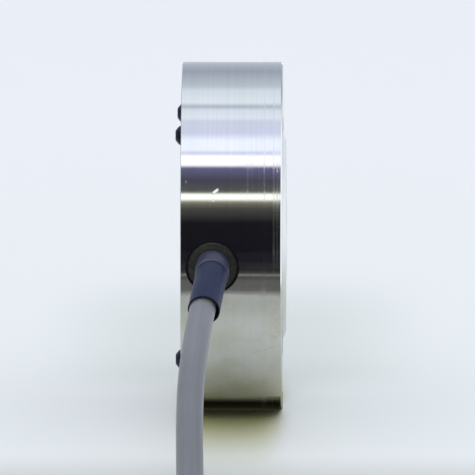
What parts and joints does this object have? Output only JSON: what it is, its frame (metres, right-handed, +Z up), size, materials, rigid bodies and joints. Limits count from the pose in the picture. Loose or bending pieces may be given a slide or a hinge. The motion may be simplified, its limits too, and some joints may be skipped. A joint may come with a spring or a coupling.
{
  "type": "tension and compression load cell",
  "caption": "Wheel-shaped stainless load cell with a threaded hub, a ring of fixing holes, a screwed rear cover and a shielded signal cable leaving the rim.",
  "frame": {"origin": "on the loading axis, in the plane of the ring's front face, where the hub's thread begins", "axes": "+X along the loading axis, out of the boss face; +Z up, with the cell standing on its rim; the cable leaves the rim towards -Y"},
  "size_m": [0.0578, 0.3213, 0.08],
  "materials": {
    "stainless": "fine turned stainless steel",
    "cover_steel": "lathe-faced stainless steel",
    "black_screw": "black oxide",
    "gland_metal": "dark olive plated metal",
    "black_rubber": "black rubber",
    "sleeve_shrink": "slate-blue shrink tubing",
    "cable_grey": "grey cable jacket",
    "board_green": "solder mask",
    "resistor_black": "black chip",
    "solder": "bright solder",
    "gauge_foil": "amber foil",
    "screw_steel": "zinc plated",
    "tie_black": "black nylon",
    "core_red": "red insulation",
    "core_black": "black insulation",
    "core_green": "green insulation",
    "core_white": "white insulation",
    "tinned_copper": "tinned strands"
  },
  "bodies": {
    "root": {"sensor_body": "stainless", "front_membrane": "stainless", "rear_cover": "cover_steel", "cover_gasket": "black_rubber", "hub_seal_ring": "black_rubber", "cover_screws": "black_screw", "gland_body": "gland_metal", "gland_seal": "black_rubber", "cable_sleeve": "sleeve_shrink", "bridge_board": "board_green", "board_screws": "screw_steel", "trim_resistors": "resistor_black", "solder_joints": "solder", "strain_gauges": "gauge_foil", "gauge_leads": "gauge_foil", "cable_inner": "cable_grey", "cable_tie": "tie_black", "cable_lead": "cable_grey", "cable_hank": "cable_grey", "hank_ties": "tie_black", "end_sleeve": "sleeve_shrink", "shield_drain": "tinned_copper", "core_tips": "tinned_copper", "inner_core_red": "core_red", "lead_core_red": "core_red", "inner_core_black": "core_black", "lead_core_black": "core_black", "inner_core_green": "core_green", "lead_core_green": "core_green", "inner_core_white": "core_white", "lead_core_white": "core_white"}
  },
  "joints": []
}
